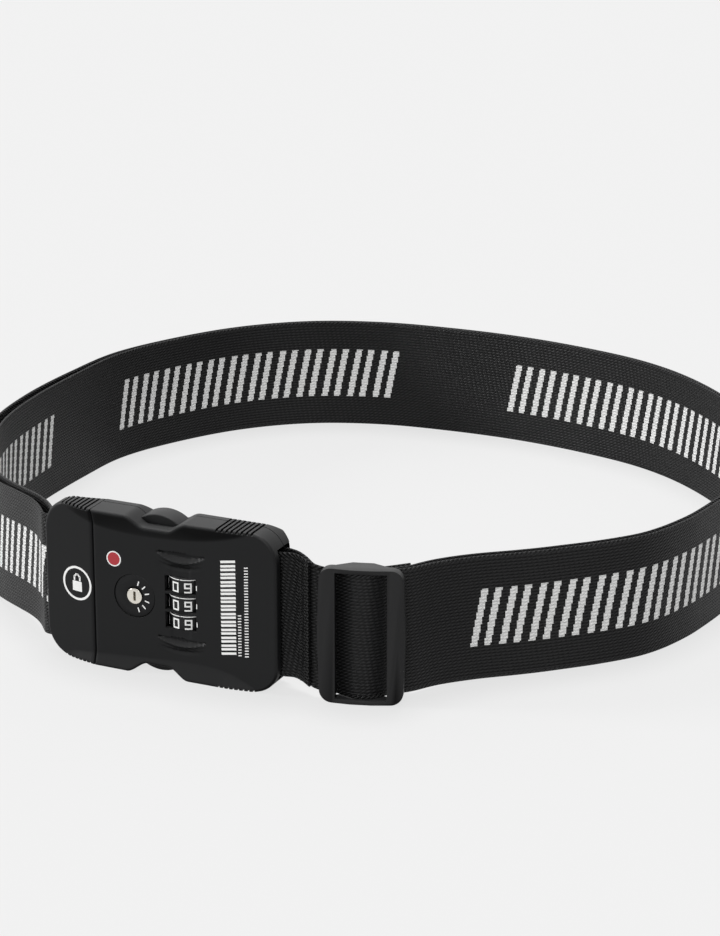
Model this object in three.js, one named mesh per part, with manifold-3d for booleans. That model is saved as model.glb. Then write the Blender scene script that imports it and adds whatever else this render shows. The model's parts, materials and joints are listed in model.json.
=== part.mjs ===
// Luggage strap: 50 mm webbing in a loop, a side-release combination lock and a slide adjuster.
// Millimetres, +Z up.  The loop stands on the lower edge of its webbing.
import * as THREE from 'three';
import { mergeVertices } from 'three/addons/utils/BufferGeometryUtils.js';
import Module from 'manifold-3d';

const wasm = await Module();
wasm.setup();

// ---------- driving dimensions ----------
const GAP = 0.3; // between neighbouring pieces

const WEBBING_WIDTH = 50;
const WEBBING_THICKNESS = 1.4;

const LOCK_HEIGHT = 62;
const LOCK_THICKNESS = 18;
const LOCK_REAR_X = 50.2; // end where the short webbing leg leaves
const LOCK_FRONT_X = -51; // strap end of the plug head
const LOCK_SEAM_X = -27.7; // plug head meets housing
const LOCK_YAW = -24.5; // degrees about Z
const LOCK_PLACE = new THREE.Vector3(-77.5, -133.1, LOCK_HEIGHT / 2);

const SLIDER_HEIGHT = 53.6;
const SLIDER_LENGTH = 33.2;
const SLIDER_YAW = -7.7;
const SLIDER_PLACE = new THREE.Vector3(-3.8, -166.7, 27.2);

const DIAL_RADIUS = 8;
const DIAL_HEIGHT = 6.2;
const DIAL_PITCH = 7.4;
const DIAL_X = 9.8;
const DIAL_Y = -1.3;

const KEY_X = -9.9;
const KEY_RADIUS = 3.2;
const ESCUTCHEON_RADIUS = 8.6;

// route of the doubled webbing round the loop, seen from above: adjuster to plug
const LOOP_ROUTE = [
  [14.3, -161.1], [24.3, -153.6], [39.6, -145.6], [55.4, -139.8], [71.1, -134.4], [86.9, -128.7],
  [102.7, -121.1], [111, -114.7], [119.1, -106.3], [127.9, -95], [149, -58], [160, -22], [162, 12],
  [156, 45], [141, 80], [123.5, 104], [100, 124], [70, 143], [37, 157.5], [5, 167], [-28, 168.5],
  [-60, 159.5], [-90, 141], [-115, 118], [-131, 91], [-148, 55], [-158, 22], [-159.5, -12],
  [-152.6, -50], [-146, -66], [-138.2, -81.5], [-131.3, -94], [-128.6, -99.5], [-126.6, -104.8], [-125.4, -109.3],
];

// space between the two plies along that route: [share of the route, millimetres]
const PLY_GAP = [
  [0, 0.8], [0.03, 1.4], [0.12, 0.9], [0.16, 0.4], [0.68, 0.4], [0.8, 3], [1, 3],
];

// ---------- materials ----------
const finish = (color, roughness, metalness = 0) =>
  new THREE.MeshStandardMaterial({ color, roughness, metalness });
const webbingBlack = finish(0x141416, 0.75);
const shellBlack = finish(0x26272a, 0.55);
const adjusterBlack = finish(0x2b2c2e, 0.5);
const dialBlack = finish(0x17181a, 0.45);
const steel = finish(0xb8b6ae, 0.3, 1);
const brass = finish(0xb9a878, 0.35, 1);
const sleeveWhite = finish(0xd8d8d4, 0.6);
const threadBlack = finish(0x0e0e10, 0.9);

// ---------- solid helpers ----------
function solid(geometry) {
  const bare = geometry.clone();
  bare.deleteAttribute('normal');
  bare.deleteAttribute('uv');
  const merged = mergeVertices(bare, 1e-4);
  return new wasm.Manifold(new wasm.Mesh({
    numProp: 3,
    vertProperties: Float32Array.from(merged.attributes.position.array),
    triVerts: Uint32Array.from(merged.index.array),
  }));
}

function surface(body) {
  const mesh = body.getMesh();
  const geometry = new THREE.BufferGeometry();
  geometry.setAttribute('position', new THREE.BufferAttribute(Float32Array.from(mesh.vertProperties), 3));
  geometry.setIndex(new THREE.BufferAttribute(Uint32Array.from(mesh.triVerts), 1));
  geometry.computeVertexNormals();
  return geometry;
}

function block(x, y, z) {
  const geometry = new THREE.BoxGeometry(x[1] - x[0], y[1] - y[0], z[1] - z[0]);
  geometry.translate((x[0] + x[1]) / 2, (y[0] + y[1]) / 2, (z[0] + z[1]) / 2);
  return geometry;
}

// an outline drawn in x and z, given a thickness along y
function plate(shape, y, curveSegments = 10) {
  const geometry = new THREE.ExtrudeGeometry(shape, {
    depth: y[1] - y[0], bevelEnabled: false, curveSegments,
  });
  geometry.rotateX(Math.PI / 2);
  geometry.translate(0, y[1], 0);
  return geometry;
}

// an outline drawn in x and y, given a height along z
function column(shape, z, curveSegments = 10) {
  const geometry = new THREE.ExtrudeGeometry(shape, {
    depth: z[1] - z[0], bevelEnabled: false, curveSegments,
  });
  geometry.translate(0, 0, z[0]);
  return geometry;
}

function polygon(points) {
  return new THREE.Shape(points.map(([x, y]) => new THREE.Vector2(x, y)));
}

// a triangle or other section drawn in y and z, given a length along x
function rail(points, x) {
  const geometry = new THREE.ExtrudeGeometry(polygon(points), { depth: x[1] - x[0], bevelEnabled: false });
  // drawn (y, z) lies in the first two axes: turn it so that depth runs along x
  geometry.applyMatrix4(new THREE.Matrix4().set(0, 0, 1, 0, 1, 0, 0, 0, 0, 1, 0, 0, 0, 0, 0, 1));
  geometry.translate(x[0], 0, 0);
  return geometry;
}

function pinAlongY(radius, y, x, z, sides = 24) {
  const geometry = new THREE.CylinderGeometry(radius, radius, y[1] - y[0], sides);
  geometry.translate(x, (y[0] + y[1]) / 2, z);
  return geometry;
}

function pinAlongZ(radius, z, x, y, sides = 24) {
  const geometry = new THREE.CylinderGeometry(radius, radius, z[1] - z[0], sides);
  geometry.rotateX(Math.PI / 2);
  geometry.translate(x, y, (z[0] + z[1]) / 2);
  return geometry;
}

function cut(body, tools) {
  return tools.reduce((rest, tool) => rest.subtract(solid(tool)), body);
}

function join(body, tools) {
  return tools.reduce((rest, tool) => rest.add(solid(tool)), body);
}

const bothSides = (make) => [make(1), make(-1)];
const span = (sign, near, far) => (sign > 0 ? [near, far] : [-far, -near]);

// ---------- assembly ----------
const strap = new THREE.Group();
const lock = new THREE.Group();
lock.position.copy(LOCK_PLACE);
lock.rotation.z = THREE.MathUtils.degToRad(LOCK_YAW);
const slider = new THREE.Group();
slider.position.copy(SLIDER_PLACE);
slider.rotation.z = THREE.MathUtils.degToRad(SLIDER_YAW);
strap.add(lock, slider);

function add(group, name, geometry, material) {
  const mesh = new THREE.Mesh(geometry, material);
  mesh.name = name;
  group.add(mesh);
}

// ---------- lock outlines ----------
const HALF_HEIGHT = LOCK_HEIGHT / 2;
const HALF_THICK = LOCK_THICKNESS / 2;
const SPLIT = GAP / 2; // half of the gap where the two shells meet
const SCALLOP = { start: -14.2, floorStart: -9.4, floorEnd: 6, end: 13, depth: 3.6 };
const HOUSING_CORNER = 11;
const HEAD_CORNER = 12;
const ENOUGH = 0.2; // how far a cutter runs past the face that it opens

function housingOutline() {
  const left = LOCK_SEAM_X + GAP / 2;
  const floor = HALF_HEIGHT - SCALLOP.depth;
  const corner = HOUSING_CORNER;
  const shape = new THREE.Shape();
  shape.moveTo(left, -HALF_HEIGHT);
  shape.lineTo(SCALLOP.start, -HALF_HEIGHT);
  shape.lineTo(SCALLOP.floorStart, -floor);
  shape.lineTo(SCALLOP.floorEnd, -floor);
  shape.lineTo(SCALLOP.end, -HALF_HEIGHT);
  shape.absarc(LOCK_REAR_X - corner, -HALF_HEIGHT + corner, corner, -Math.PI / 2, 0);
  shape.absarc(LOCK_REAR_X - corner, HALF_HEIGHT - corner, corner, 0, Math.PI / 2);
  shape.lineTo(SCALLOP.end, HALF_HEIGHT);
  shape.lineTo(SCALLOP.floorEnd, floor);
  shape.lineTo(SCALLOP.floorStart, floor);
  shape.lineTo(SCALLOP.start, HALF_HEIGHT);
  shape.lineTo(left, HALF_HEIGHT);
  return shape;
}

function headOutline() {
  const right = LOCK_SEAM_X - GAP / 2;
  const corner = HEAD_CORNER;
  const shape = new THREE.Shape();
  shape.moveTo(right, HALF_HEIGHT);
  shape.lineTo(LOCK_FRONT_X + corner, HALF_HEIGHT);
  shape.absarc(LOCK_FRONT_X + corner, HALF_HEIGHT - corner, corner, Math.PI / 2, Math.PI);
  shape.absarc(LOCK_FRONT_X + corner, -HALF_HEIGHT + corner, corner, Math.PI, Math.PI * 1.5);
  shape.lineTo(right, -HALF_HEIGHT);
  return shape;
}

// long side facets: a wedge off each long edge of a face
const FACET = { rise: 1.4, depth: 1.4 };
function facetCutters(side, x) {
  const face = side * (HALF_THICK + ENOUGH);
  const inner = side * (HALF_THICK - FACET.depth);
  return bothSides((up) => {
    const points = [
      [face, up * (HALF_HEIGHT - FACET.rise)],
      [inner, up * (HALF_HEIGHT + ENOUGH)],
      [face, up * (HALF_HEIGHT + ENOUGH)],
    ];
    return rail(side * up > 0 ? points : points.reverse(), x);
  });
}

// grip ridges: narrow grooves across the long edges
const GRIP = { pitch: 2, width: 0.9, depth: 0.6, count: 8 };
function gripCutters(firstX, y) {
  const cutters = [];
  for (let ridge = 0; ridge < GRIP.count; ridge += 1) {
    const x = firstX + ridge * GRIP.pitch;
    for (const up of [1, -1]) {
      cutters.push(block([x, x + GRIP.width], y, span(up, HALF_HEIGHT - GRIP.depth, HALF_HEIGHT + ENOUGH)));
    }
  }
  return cutters;
}

// ---------- lock inside ----------
const ARM = { half: 4.4, inner: 21.6, channelInner: 15.6, channelOuter: 28.3, channelHalf: 5, channelEnd: 20 };
const DIAL_BAY = { x: [1.2, 19], z: 13, y: 7.2 };
const WINDOW = { width: 13.2, height: 6.6 };
const REAR_POCKET = { x: [36, LOCK_REAR_X + ENOUGH], y: 5.6, z: 26.4 };
const REAR_PIN = { x: 42, radius: 1.8, half: 28.6 };
const PLUG_PIN = { x: -46, radius: 1.2, half: 27.2 };
const PLUG_POCKET = { x: [LOCK_FRONT_X - ENOUGH, -42], y: 3.6, z: 26.4 };
const TONGUE = { end: -24.5, half: 2.9, z: 10.5 };
const KEY_BAY = { radius: 6.6, y: 7.4 };
const SPINDLE = { radius: 1.6, half: 15 };
const SCREW_PLACES = [[-21, 12.8], [-21, -12.8], [26, 20], [26, -20]];
const SCREW = { headRadius: 2.2, shankRadius: 1, headTop: 8.6, headBottom: 7, tip: -4.5 };
const LOCKING_BAR = { x: [-4.5, -1.5], y: [3.2, 5.6], z: 18.6, travel: 4 };
const RESET = { x: 24, radius: 1.3, y: [4.5, 8.8] };
const SPRING = { x: [-1.2, 7.2], y: 4.4, z: 11.9, radius: 0.8, wire: 0.2, turns: 5 };

function sharedCavities() {
  const seam = LOCK_SEAM_X - 1;
  const cavities = bothSides((up) => block(
    [seam, ARM.channelEnd], [-ARM.channelHalf, ARM.channelHalf], span(up, ARM.channelInner, ARM.channelOuter),
  ));
  cavities.push(block([seam, TONGUE.end + 0.5], [-TONGUE.half - GAP, TONGUE.half + GAP], [-TONGUE.z - GAP, TONGUE.z + GAP]));
  cavities.push(block(DIAL_BAY.x, [-DIAL_BAY.y, DIAL_BAY.y], [-DIAL_BAY.z, DIAL_BAY.z]));
  cavities.push(pinAlongZ(SPINDLE.radius + GAP, [-SPINDLE.half - GAP, SPINDLE.half + GAP], DIAL_X, DIAL_Y));
  cavities.push(block(REAR_POCKET.x, [-REAR_POCKET.y, REAR_POCKET.y], [-REAR_POCKET.z, REAR_POCKET.z]));
  cavities.push(pinAlongZ(REAR_PIN.radius + GAP, [-REAR_PIN.half - GAP, REAR_PIN.half + GAP], REAR_PIN.x, 0));
  for (const [x, z] of SCREW_PLACES) {
    cavities.push(pinAlongY(SCREW.shankRadius + GAP, [SCREW.tip - GAP, HALF_THICK + ENOUGH], x, z, 16));
  }
  return cavities;
}

function makeFrontHousing() {
  let shell = solid(plate(housingOutline(), [-HALF_THICK, -SPLIT]));
  shell = cut(shell, sharedCavities());
  shell = cut(shell, facetCutters(-1, [LOCK_SEAM_X - 1, LOCK_REAR_X - 5]));
  shell = cut(shell, gripCutters(26.5, [-HALF_THICK, SPLIT]));
  shell = cut(shell, [
    pinAlongY(KEY_BAY.radius, [-KEY_BAY.y, SPLIT], KEY_X, 0),
    pinAlongY(KEY_RADIUS + GAP, [-HALF_THICK - ENOUGH, 0], KEY_X, 0),
    pinAlongY(ESCUTCHEON_RADIUS + GAP, [-HALF_THICK - ENOUGH, -HALF_THICK + 1], KEY_X, 0, 36),
  ]);
  for (const step of [-1, 0, 1]) {
    const z = step * DIAL_PITCH;
    shell = cut(shell, [block(
      [DIAL_X - WINDOW.width / 2, DIAL_X + WINDOW.width / 2],
      [-HALF_THICK - ENOUGH, -DIAL_BAY.y + ENOUGH],
      [z - WINDOW.height / 2, z + WINDOW.height / 2],
    )]);
  }
  return surface(shell);
}

function makeBackHousing() {
  let shell = solid(plate(housingOutline(), [SPLIT, HALF_THICK]));
  shell = cut(shell, sharedCavities());
  shell = cut(shell, facetCutters(1, [LOCK_SEAM_X - 1, LOCK_REAR_X - 5]));
  shell = cut(shell, gripCutters(26.5, [-SPLIT, HALF_THICK]));
  shell = cut(shell, [
    pinAlongY(KEY_BAY.radius, [0, 6.2], KEY_X, 0),
    block([LOCKING_BAR.x[0] - GAP, 3.2], [0, LOCKING_BAR.y[1] + GAP], [-LOCKING_BAR.z - GAP, LOCKING_BAR.z + GAP]),
    pinAlongY(RESET.radius + GAP, [2.5, HALF_THICK + ENOUGH], RESET.x, 0, 16),
  ]);
  for (const [x, z] of SCREW_PLACES) {
    shell = cut(shell, [pinAlongY(SCREW.headRadius + GAP, [SCREW.headBottom - GAP, HALF_THICK + ENOUGH], x, z, 20)]);
  }
  // the seat that the locking bar's spring pushes on
  shell = join(shell, [block([SPRING.x[1] + GAP, SPRING.x[1] + 1.8], [3, DIAL_BAY.y + 0.5], [10.9, DIAL_BAY.z + 0.5])]);
  return surface(shell);
}

function makePlugHead() {
  let head = solid(plate(headOutline(), [-HALF_THICK, HALF_THICK], 12));
  const endHalf = 4.6; // half thickness left at the strap end
  head = cut(head, bothSides((side) => {
    const points = [
      [LOCK_FRONT_X - ENOUGH, side * endHalf],
      [LOCK_SEAM_X, side * (HALF_THICK + 0.01)],
      [LOCK_SEAM_X, side * (HALF_THICK + ENOUGH)],
      [LOCK_FRONT_X - ENOUGH, side * (HALF_THICK + ENOUGH)],
    ];
    return column(polygon(points), [-HALF_HEIGHT - 1, HALF_HEIGHT + 1]);
  }));
  const facetRange = [LOCK_FRONT_X + 6, LOCK_SEAM_X + 1];
  head = cut(head, [...facetCutters(1, facetRange), ...facetCutters(-1, facetRange)]);
  head = cut(head, gripCutters(-44, [-HALF_THICK, HALF_THICK]));
  head = cut(head, [
    block(PLUG_POCKET.x, [-PLUG_POCKET.y, PLUG_POCKET.y], [-PLUG_POCKET.z, PLUG_POCKET.z]),
    pinAlongZ(PLUG_PIN.radius + GAP, [-PLUG_PIN.half - GAP, PLUG_PIN.half + GAP], PLUG_PIN.x, 0),
    ...bothSides((up) => block([-37, LOCK_SEAM_X], [-ARM.half - 0.5, ARM.half + 0.5], span(up, 18.9, 27.4))),
  ]);
  head = join(head, [block([LOCK_SEAM_X - 3, TONGUE.end], [-TONGUE.half, TONGUE.half], [-TONGUE.z, TONGUE.z])]);
  return surface(head);
}

// a springy arm of the plug, with the finger pad that fills the scallop
function makeReleaseArm(up) {
  const pad = { x: -1.5, top: HALF_HEIGHT - 0.2, base: 27.2, halfChord: 9.5 };
  const rise = pad.top - pad.base;
  const radius = (pad.halfChord ** 2 + rise ** 2) / (2 * rise);
  const centre = pad.top - radius;
  const lean = Math.asin(pad.halfChord / radius);
  const shape = new THREE.Shape();
  shape.moveTo(-36.3, 21.8);
  shape.lineTo(-10, ARM.inner);
  shape.lineTo(14.5, ARM.inner);
  shape.lineTo(16.5, 23.5);
  shape.lineTo(16.5, 26);
  shape.lineTo(15, pad.base);
  shape.absarc(pad.x, centre, radius, Math.PI / 2 - lean, Math.PI / 2 + lean);
  shape.lineTo(-14, 26.4);
  shape.lineTo(-36.3, 25.4);
  const geometry = plate(shape, [-ARM.half, ARM.half], 14);
  if (up < 0) {
    geometry.rotateX(Math.PI); // turned over about its length, so faces stay outward
  }
  return geometry;
}

function ring(outer, inner, height, x, y, z, sides) {
  const half = height / 2;
  const profile = [[inner, -half], [outer, -half], [outer, half], [inner, half], [inner, -half]];
  const geometry = new THREE.LatheGeometry(profile.map(([r, h]) => new THREE.Vector2(r, h)), sides);
  geometry.rotateX(Math.PI / 2);
  geometry.translate(x, y, z);
  return geometry;
}

function makeScrew(x, z) {
  const { headRadius, shankRadius, headTop, headBottom, tip } = SCREW;
  const profile = [[0, tip], [shankRadius, tip + 0.8], [shankRadius, headBottom], [headRadius, headBottom],
    [headRadius, headTop - 0.5], [headRadius - 0.5, headTop], [0, headTop]];
  const geometry = new THREE.LatheGeometry(profile.map(([r, y]) => new THREE.Vector2(r, y)), 16);
  geometry.translate(x, 0, z);
  return geometry;
}

function makeKeyCam() {
  const shape = new THREE.Shape();
  shape.moveTo(-1.3, 2.2);
  shape.lineTo(-1, 5);
  shape.lineTo(1, 5);
  shape.lineTo(1.3, 2.2);
  shape.absarc(0, 0, 2.6, Math.PI / 3, -Math.PI * 4 / 3, true);
  const geometry = plate(shape, [3.4, 5.4]);
  geometry.translate(KEY_X, 0, 0);
  return geometry;
}

function makeEscutcheon() {
  const geometry = new THREE.LatheGeometry([
    [KEY_RADIUS + GAP, -HALF_THICK + 0.2], [ESCUTCHEON_RADIUS, -HALF_THICK + 0.2],
    [ESCUTCHEON_RADIUS, -HALF_THICK + 0.7], [KEY_RADIUS + GAP, -HALF_THICK + 0.7],
    [KEY_RADIUS + GAP, -HALF_THICK + 0.2],
  ].map(([r, y]) => new THREE.Vector2(r, y)), 36);
  geometry.translate(KEY_X, 0, 0);
  return geometry;
}

function makeKeyCylinder() {
  const frontFace = -HALF_THICK - 0.2;
  const body = solid(pinAlongY(KEY_RADIUS, [frontFace, 3.1], KEY_X, 0));
  const keyway = block([KEY_X - 0.5, KEY_X + 0.5], [frontFace - ENOUGH, frontFace + 6], [-1.8, 1.8]);
  return surface(cut(body, [keyway]));
}

function makeLockingBarSpring() {
  class Coil extends THREE.Curve {
    getPoint(t, target = new THREE.Vector3()) {
      const turn = t * SPRING.turns * 2 * Math.PI;
      return target.set(
        THREE.MathUtils.lerp(SPRING.x[0] + SPRING.wire, SPRING.x[1] - SPRING.wire, t),
        SPRING.y + SPRING.radius * Math.cos(turn),
        SPRING.z + SPRING.radius * Math.sin(turn),
      );
    }
  }
  const section = new THREE.Shape();
  section.absarc(0, 0, SPRING.wire, 0, 2 * Math.PI);
  const stepsPerTurn = 10;
  return new THREE.ExtrudeGeometry(section, {
    steps: SPRING.turns * stepsPerTurn, curveSegments: 3, extrudePath: new Coil(), bevelEnabled: false,
  });
}

function makeDetentSpring() {
  const shape = new THREE.Shape();
  const near = DIAL_X + DIAL_RADIUS + GAP / 2;
  shape.moveTo(near, -2.6);
  shape.lineTo(near + 0.5, -3.4);
  shape.lineTo(near + 0.5, -5.5);
  shape.lineTo(near + 0.8, -5.5);
  shape.lineTo(near + 0.8, 5.5);
  shape.lineTo(near + 0.5, 5.5);
  shape.lineTo(near + 0.5, -1.2);
  shape.lineTo(near, -1.6);
  return column(shape, [-DIAL_BAY.z + 1, DIAL_BAY.z - 1]);
}

// ---------- lock pieces ----------
add(lock, 'front_housing', makeFrontHousing(), shellBlack);
add(lock, 'back_housing', makeBackHousing(), shellBlack);
add(lock, 'plug_head', makePlugHead(), shellBlack);
add(lock, 'upper_release_arm', makeReleaseArm(1), shellBlack);
add(lock, 'lower_release_arm', makeReleaseArm(-1), shellBlack);
add(lock, 'plug_webbing_pin', pinAlongZ(PLUG_PIN.radius, [-PLUG_PIN.half, PLUG_PIN.half], PLUG_PIN.x, 0, 16), steel);
add(lock, 'housing_webbing_pin', pinAlongZ(REAR_PIN.radius, [-REAR_PIN.half, REAR_PIN.half], REAR_PIN.x, 0, 16), steel);
for (const [index, step] of [1, 0, -1].entries()) {
  const z = step * DIAL_PITCH;
  const bore = 3.9;
  add(lock, `number_dial_${index + 1}`, ring(DIAL_RADIUS, bore, DIAL_HEIGHT, DIAL_X, DIAL_Y, z, 40), dialBlack);
  add(lock, `dial_sleeve_${index + 1}`, ring(bore - GAP, SPINDLE.radius + GAP, DIAL_HEIGHT, DIAL_X, DIAL_Y, z, 20), sleeveWhite);
}
add(lock, 'dial_spindle', pinAlongZ(SPINDLE.radius, [-SPINDLE.half, SPINDLE.half], DIAL_X, DIAL_Y, 16), steel);
add(lock, 'dial_detent_spring', makeDetentSpring(), steel);
add(lock, 'key_escutcheon', makeEscutcheon(), shellBlack);
add(lock, 'key_cylinder', makeKeyCylinder(), brass);
add(lock, 'key_cam', makeKeyCam(), steel);
add(lock, 'locking_bar', block(LOCKING_BAR.x, LOCKING_BAR.y, [-LOCKING_BAR.z, LOCKING_BAR.z]), steel);
add(lock, 'locking_bar_spring', makeLockingBarSpring(), steel);
add(lock, 'reset_button', pinAlongY(RESET.radius, RESET.y, RESET.x, 0, 16), dialBlack);
for (const [index, [x, z]] of SCREW_PLACES.entries()) {
  add(lock, `housing_screw_${index + 1}`, makeScrew(x, z), steel);
}

// ---------- slide adjuster ----------
const WINDOW_HALF = { x: 9.8, z: 25.2 };
const CENTRE_BAR = { half: 2, front: 0.4, back: 2.2 };

function makeSliderFrame() {
  const halfLength = SLIDER_LENGTH / 2;
  const halfHeight = SLIDER_HEIGHT / 2;
  const corner = 4.8;
  const waist = 0.7; // the ends are this much narrower than the middle
  const outline = new THREE.Shape();
  const side = halfLength - waist;
  outline.moveTo(-side + corner, -halfHeight);
  outline.absarc(side - corner, -halfHeight + corner, corner, -Math.PI / 2, 0);
  outline.lineTo(halfLength, 0);
  outline.absarc(side - corner, halfHeight - corner, corner, 0, Math.PI / 2);
  outline.absarc(-side + corner, halfHeight - corner, corner, Math.PI / 2, Math.PI);
  outline.lineTo(-halfLength, 0);
  outline.absarc(-side + corner, -halfHeight + corner, corner, Math.PI, Math.PI * 1.5);
  // seen from above, the frame is thicker in its middle
  const plan = polygon([
    [-halfLength - 1, -2.4], [-4, -4.2], [4, -4.2], [halfLength + 1, -2.4],
    [halfLength + 1, 1], [WINDOW_HALF.x, 1], [4, 4.4], [-4, 4.4], [-WINDOW_HALF.x, 1], [-halfLength - 1, 1],
  ]);
  let frame = solid(plate(outline, [-5, 5], 6));
  frame = frame.intersect(solid(column(plan, [-halfHeight - 1, halfHeight + 1])));
  frame = cut(frame, bothSides((right) => block(
    span(right, CENTRE_BAR.half, WINDOW_HALF.x), [-5, 5], [-WINDOW_HALF.z, WINDOW_HALF.z],
  )));
  for (const depths of [[-5, CENTRE_BAR.front], [CENTRE_BAR.back, 5]]) {
    frame = cut(frame, [
      block([-CENTRE_BAR.half - 1, CENTRE_BAR.half + 1], depths, [-WINDOW_HALF.z, WINDOW_HALF.z]),
    ]);
  }
  return surface(frame);
}
add(slider, 'slider_frame', makeSliderFrame(), adjusterBlack);

// ---------- webbing routes, seen from above ----------
const toStrap = (group) => ([x, y]) => {
  group.updateMatrix();
  const point = new THREE.Vector3(x, y, 0).applyMatrix4(group.matrix);
  return [point.x, point.y];
};
const fromLock = toStrap(lock);
const fromSlider = toStrap(slider);

function smoothRoute(points, pointsPerSpan) {
  const curve = new THREE.CatmullRomCurve3(points.map(([x, y]) => new THREE.Vector3(x, y, 0)), false, 'centripetal');
  return curve.getSpacedPoints((points.length - 1) * pointsPerSpan).map(({ x, y }) => [x, y]);
}

function normals(route) {
  return route.map((_, index) => {
    const [x0, y0] = route[Math.max(index - 1, 0)];
    const [x1, y1] = route[Math.min(index + 1, route.length - 1)];
    const length = Math.hypot(x1 - x0, y1 - y0);
    return [-(y1 - y0) / length, (x1 - x0) / length];
  });
}

function offsetRoute(route, distances) {
  const sideways = normals(route);
  return route.map(([x, y], index) => {
    const [nx, ny] = sideways[index];
    return [x + nx * distances[index], y + ny * distances[index]];
  });
}

// the webbing is centred on the height of the lock and of the adjuster, and sinks to the floor away from them
const LOCK_LIFT = LOCK_PLACE.z - WEBBING_WIDTH / 2;
const SLIDER_LIFT = SLIDER_PLACE.z - WEBBING_WIDTH / 2;
const LIFT_REACH = 78;
function lift(x, y) {
  const { clamp, lerp, smoothstep } = THREE.MathUtils;
  const toSlider = Math.hypot(x - SLIDER_PLACE.x, y - SLIDER_PLACE.y);
  if (x > SLIDER_PLACE.x) {
    return SLIDER_LIFT * (1 - smoothstep(toSlider, 12, LIFT_REACH));
  }
  const [x0, y0] = fromLock([LOCK_FRONT_X, 0]);
  const [x1, y1] = fromLock([LOCK_REAR_X, 0]);
  const length = Math.hypot(x1 - x0, y1 - y0);
  const share = clamp(((x - x0) * (x1 - x0) + (y - y0) * (y1 - y0)) / length ** 2, 0, 1);
  const toLock = Math.hypot(x - x0 - share * (x1 - x0), y - y0 - share * (y1 - y0));
  const nearLock = LOCK_LIFT * (1 - smoothstep(toLock, 12, LIFT_REACH));
  return lerp(SLIDER_LIFT, nearLock, smoothstep(toSlider, 12, 28));
}

function webbing(route, thickness = WEBBING_THICKNESS, width = WEBBING_WIDTH) {
  const left = offsetRoute(route, route.map(() => thickness / 2));
  const right = offsetRoute(route, route.map(() => -thickness / 2));
  const geometry = column(polygon([...right, ...left.reverse()]), [0, width]);
  const position = geometry.attributes.position;
  const margin = (WEBBING_WIDTH - width) / 2;
  for (let index = 0; index < position.count; index += 1) {
    const z = position.getZ(index) + lift(position.getX(index), position.getY(index)) + margin;
    position.setZ(index, z);
  }
  geometry.computeVertexNormals();
  return geometry;
}

// a stretch of a route between two shares of its length, short of both ends by half a gap
function stretch(route, from, to) {
  const curve = new THREE.CatmullRomCurve3(route.map(([x, y]) => new THREE.Vector3(x, y, 0)));
  const length = curve.getLength();
  const inset = GAP / 2 / length;
  const steps = Math.max(4, Math.round((to - from) * length / 7));
  const points = [];
  for (let step = 0; step <= steps; step += 1) {
    const { x, y } = curve.getPointAt(THREE.MathUtils.lerp(from + inset, to - inset, step / steps));
    points.push([x, y]);
  }
  return points;
}

// webbing over the adjuster's centre bar, on top of the fold that is sewn round that bar
const overSlider = smoothRoute([
  [-17, 2.3], [-12, 2.3], [-9.3, 1.7], [-5.4, -0.9], [-2.6, -2.2], [0, -2.5],
  [2.6, -2.2], [5.8, -0.4], [8.8, 2], [12, 4], [17, 6.8],
].map(fromSlider), 4);

// the inner ply comes to the centre bar, turns round it and ends in a sewn tail between the plies
const sliderFold = smoothRoute([
  ...[
    [17, 9.1], [12, 6.2], [9.4, 4.6], [6.6, 2.3], [4.3, 0.6], [2, -0.6], [-0.6, -0.75],
    [-2.6, -0.3], [-3.15, 1.2], [-2.7, 2.8], [-0.8, 3.35], [1.6, 3.6], [4.2, 4.6], [6.8, 6], [9.4, 7.4],
    [12, 8.8], [16.6, 11.6],
  ].map(fromSlider),
], 3);

// from the adjuster to the lock, round the pin, and back to the sewn hem
const lockLoop = smoothRoute([
  fromSlider([-17.3, 2.3]), fromSlider([-18.6, 2.5]), ...[
    [59, -1], [55, 0.7], [50, 2.2], [46, 2.85], [42, 2.85], [40, 2], [39.15, 0], [40, -2], [42, -2.85],
    [46, -3], [50, -2.8], [54, -2], [58, -2.6], [61.3, -4],
  ].map(fromLock),
], 3);

// round the plug's pin: printed ply in at the front, out again at the back
const plugFold = smoothRoute([
  [-54.6, -0.2], [-53.3, -1.7], [-51, -2.3], [-46.4, -2.3], [-44.4, -1.7],
  [-43.65, 0], [-44.4, 1.7], [-46.4, 2.3], [-50.5, 2.3], [-52.3, 3.3],
].map(fromLock), 3);

const loopRoute = smoothRoute(LOOP_ROUTE, 6);
const plyGap = loopRoute.map((_, index) => {
  const share = index / (loopRoute.length - 1);
  const next = PLY_GAP.findIndex(([at]) => at >= share);
  const [s1, g1] = PLY_GAP[Math.max(next, 1)];
  const [s0, g0] = PLY_GAP[Math.max(next, 1) - 1];
  return THREE.MathUtils.lerp(g0, g1, THREE.MathUtils.smoothstep(share, s0, s1));
});
const outerRoute = offsetRoute(loopRoute, plyGap.map((gap) => -(gap + WEBBING_THICKNESS) / 2));
const innerRoute = offsetRoute(loopRoute, plyGap.map((gap) => (gap + WEBBING_THICKNESS) / 2));

add(strap, 'webbing_over_slider', webbing(overSlider), webbingBlack);
add(strap, 'webbing_slider_fold', webbing(sliderFold), webbingBlack);
add(strap, 'webbing_lock_loop', webbing(lockLoop), webbingBlack);
add(strap, 'webbing_plug_fold', webbing(plugFold), webbingBlack);
const STRETCHES = [
  ['front', 0.0015, 0.2], ['right', 0.2, 0.4], ['back_right', 0.4, 0.54],
  ['back_left', 0.54, 0.7], ['left', 0.7, 0.9985],
];
for (const [place, from, to] of STRETCHES) {
  add(strap, `webbing_outer_${place}`, webbing(stretch(outerRoute, from, to)), webbingBlack);
  add(strap, `webbing_inner_${place}`, webbing(stretch(innerRoute, from, to)), webbingBlack);
}

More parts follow.
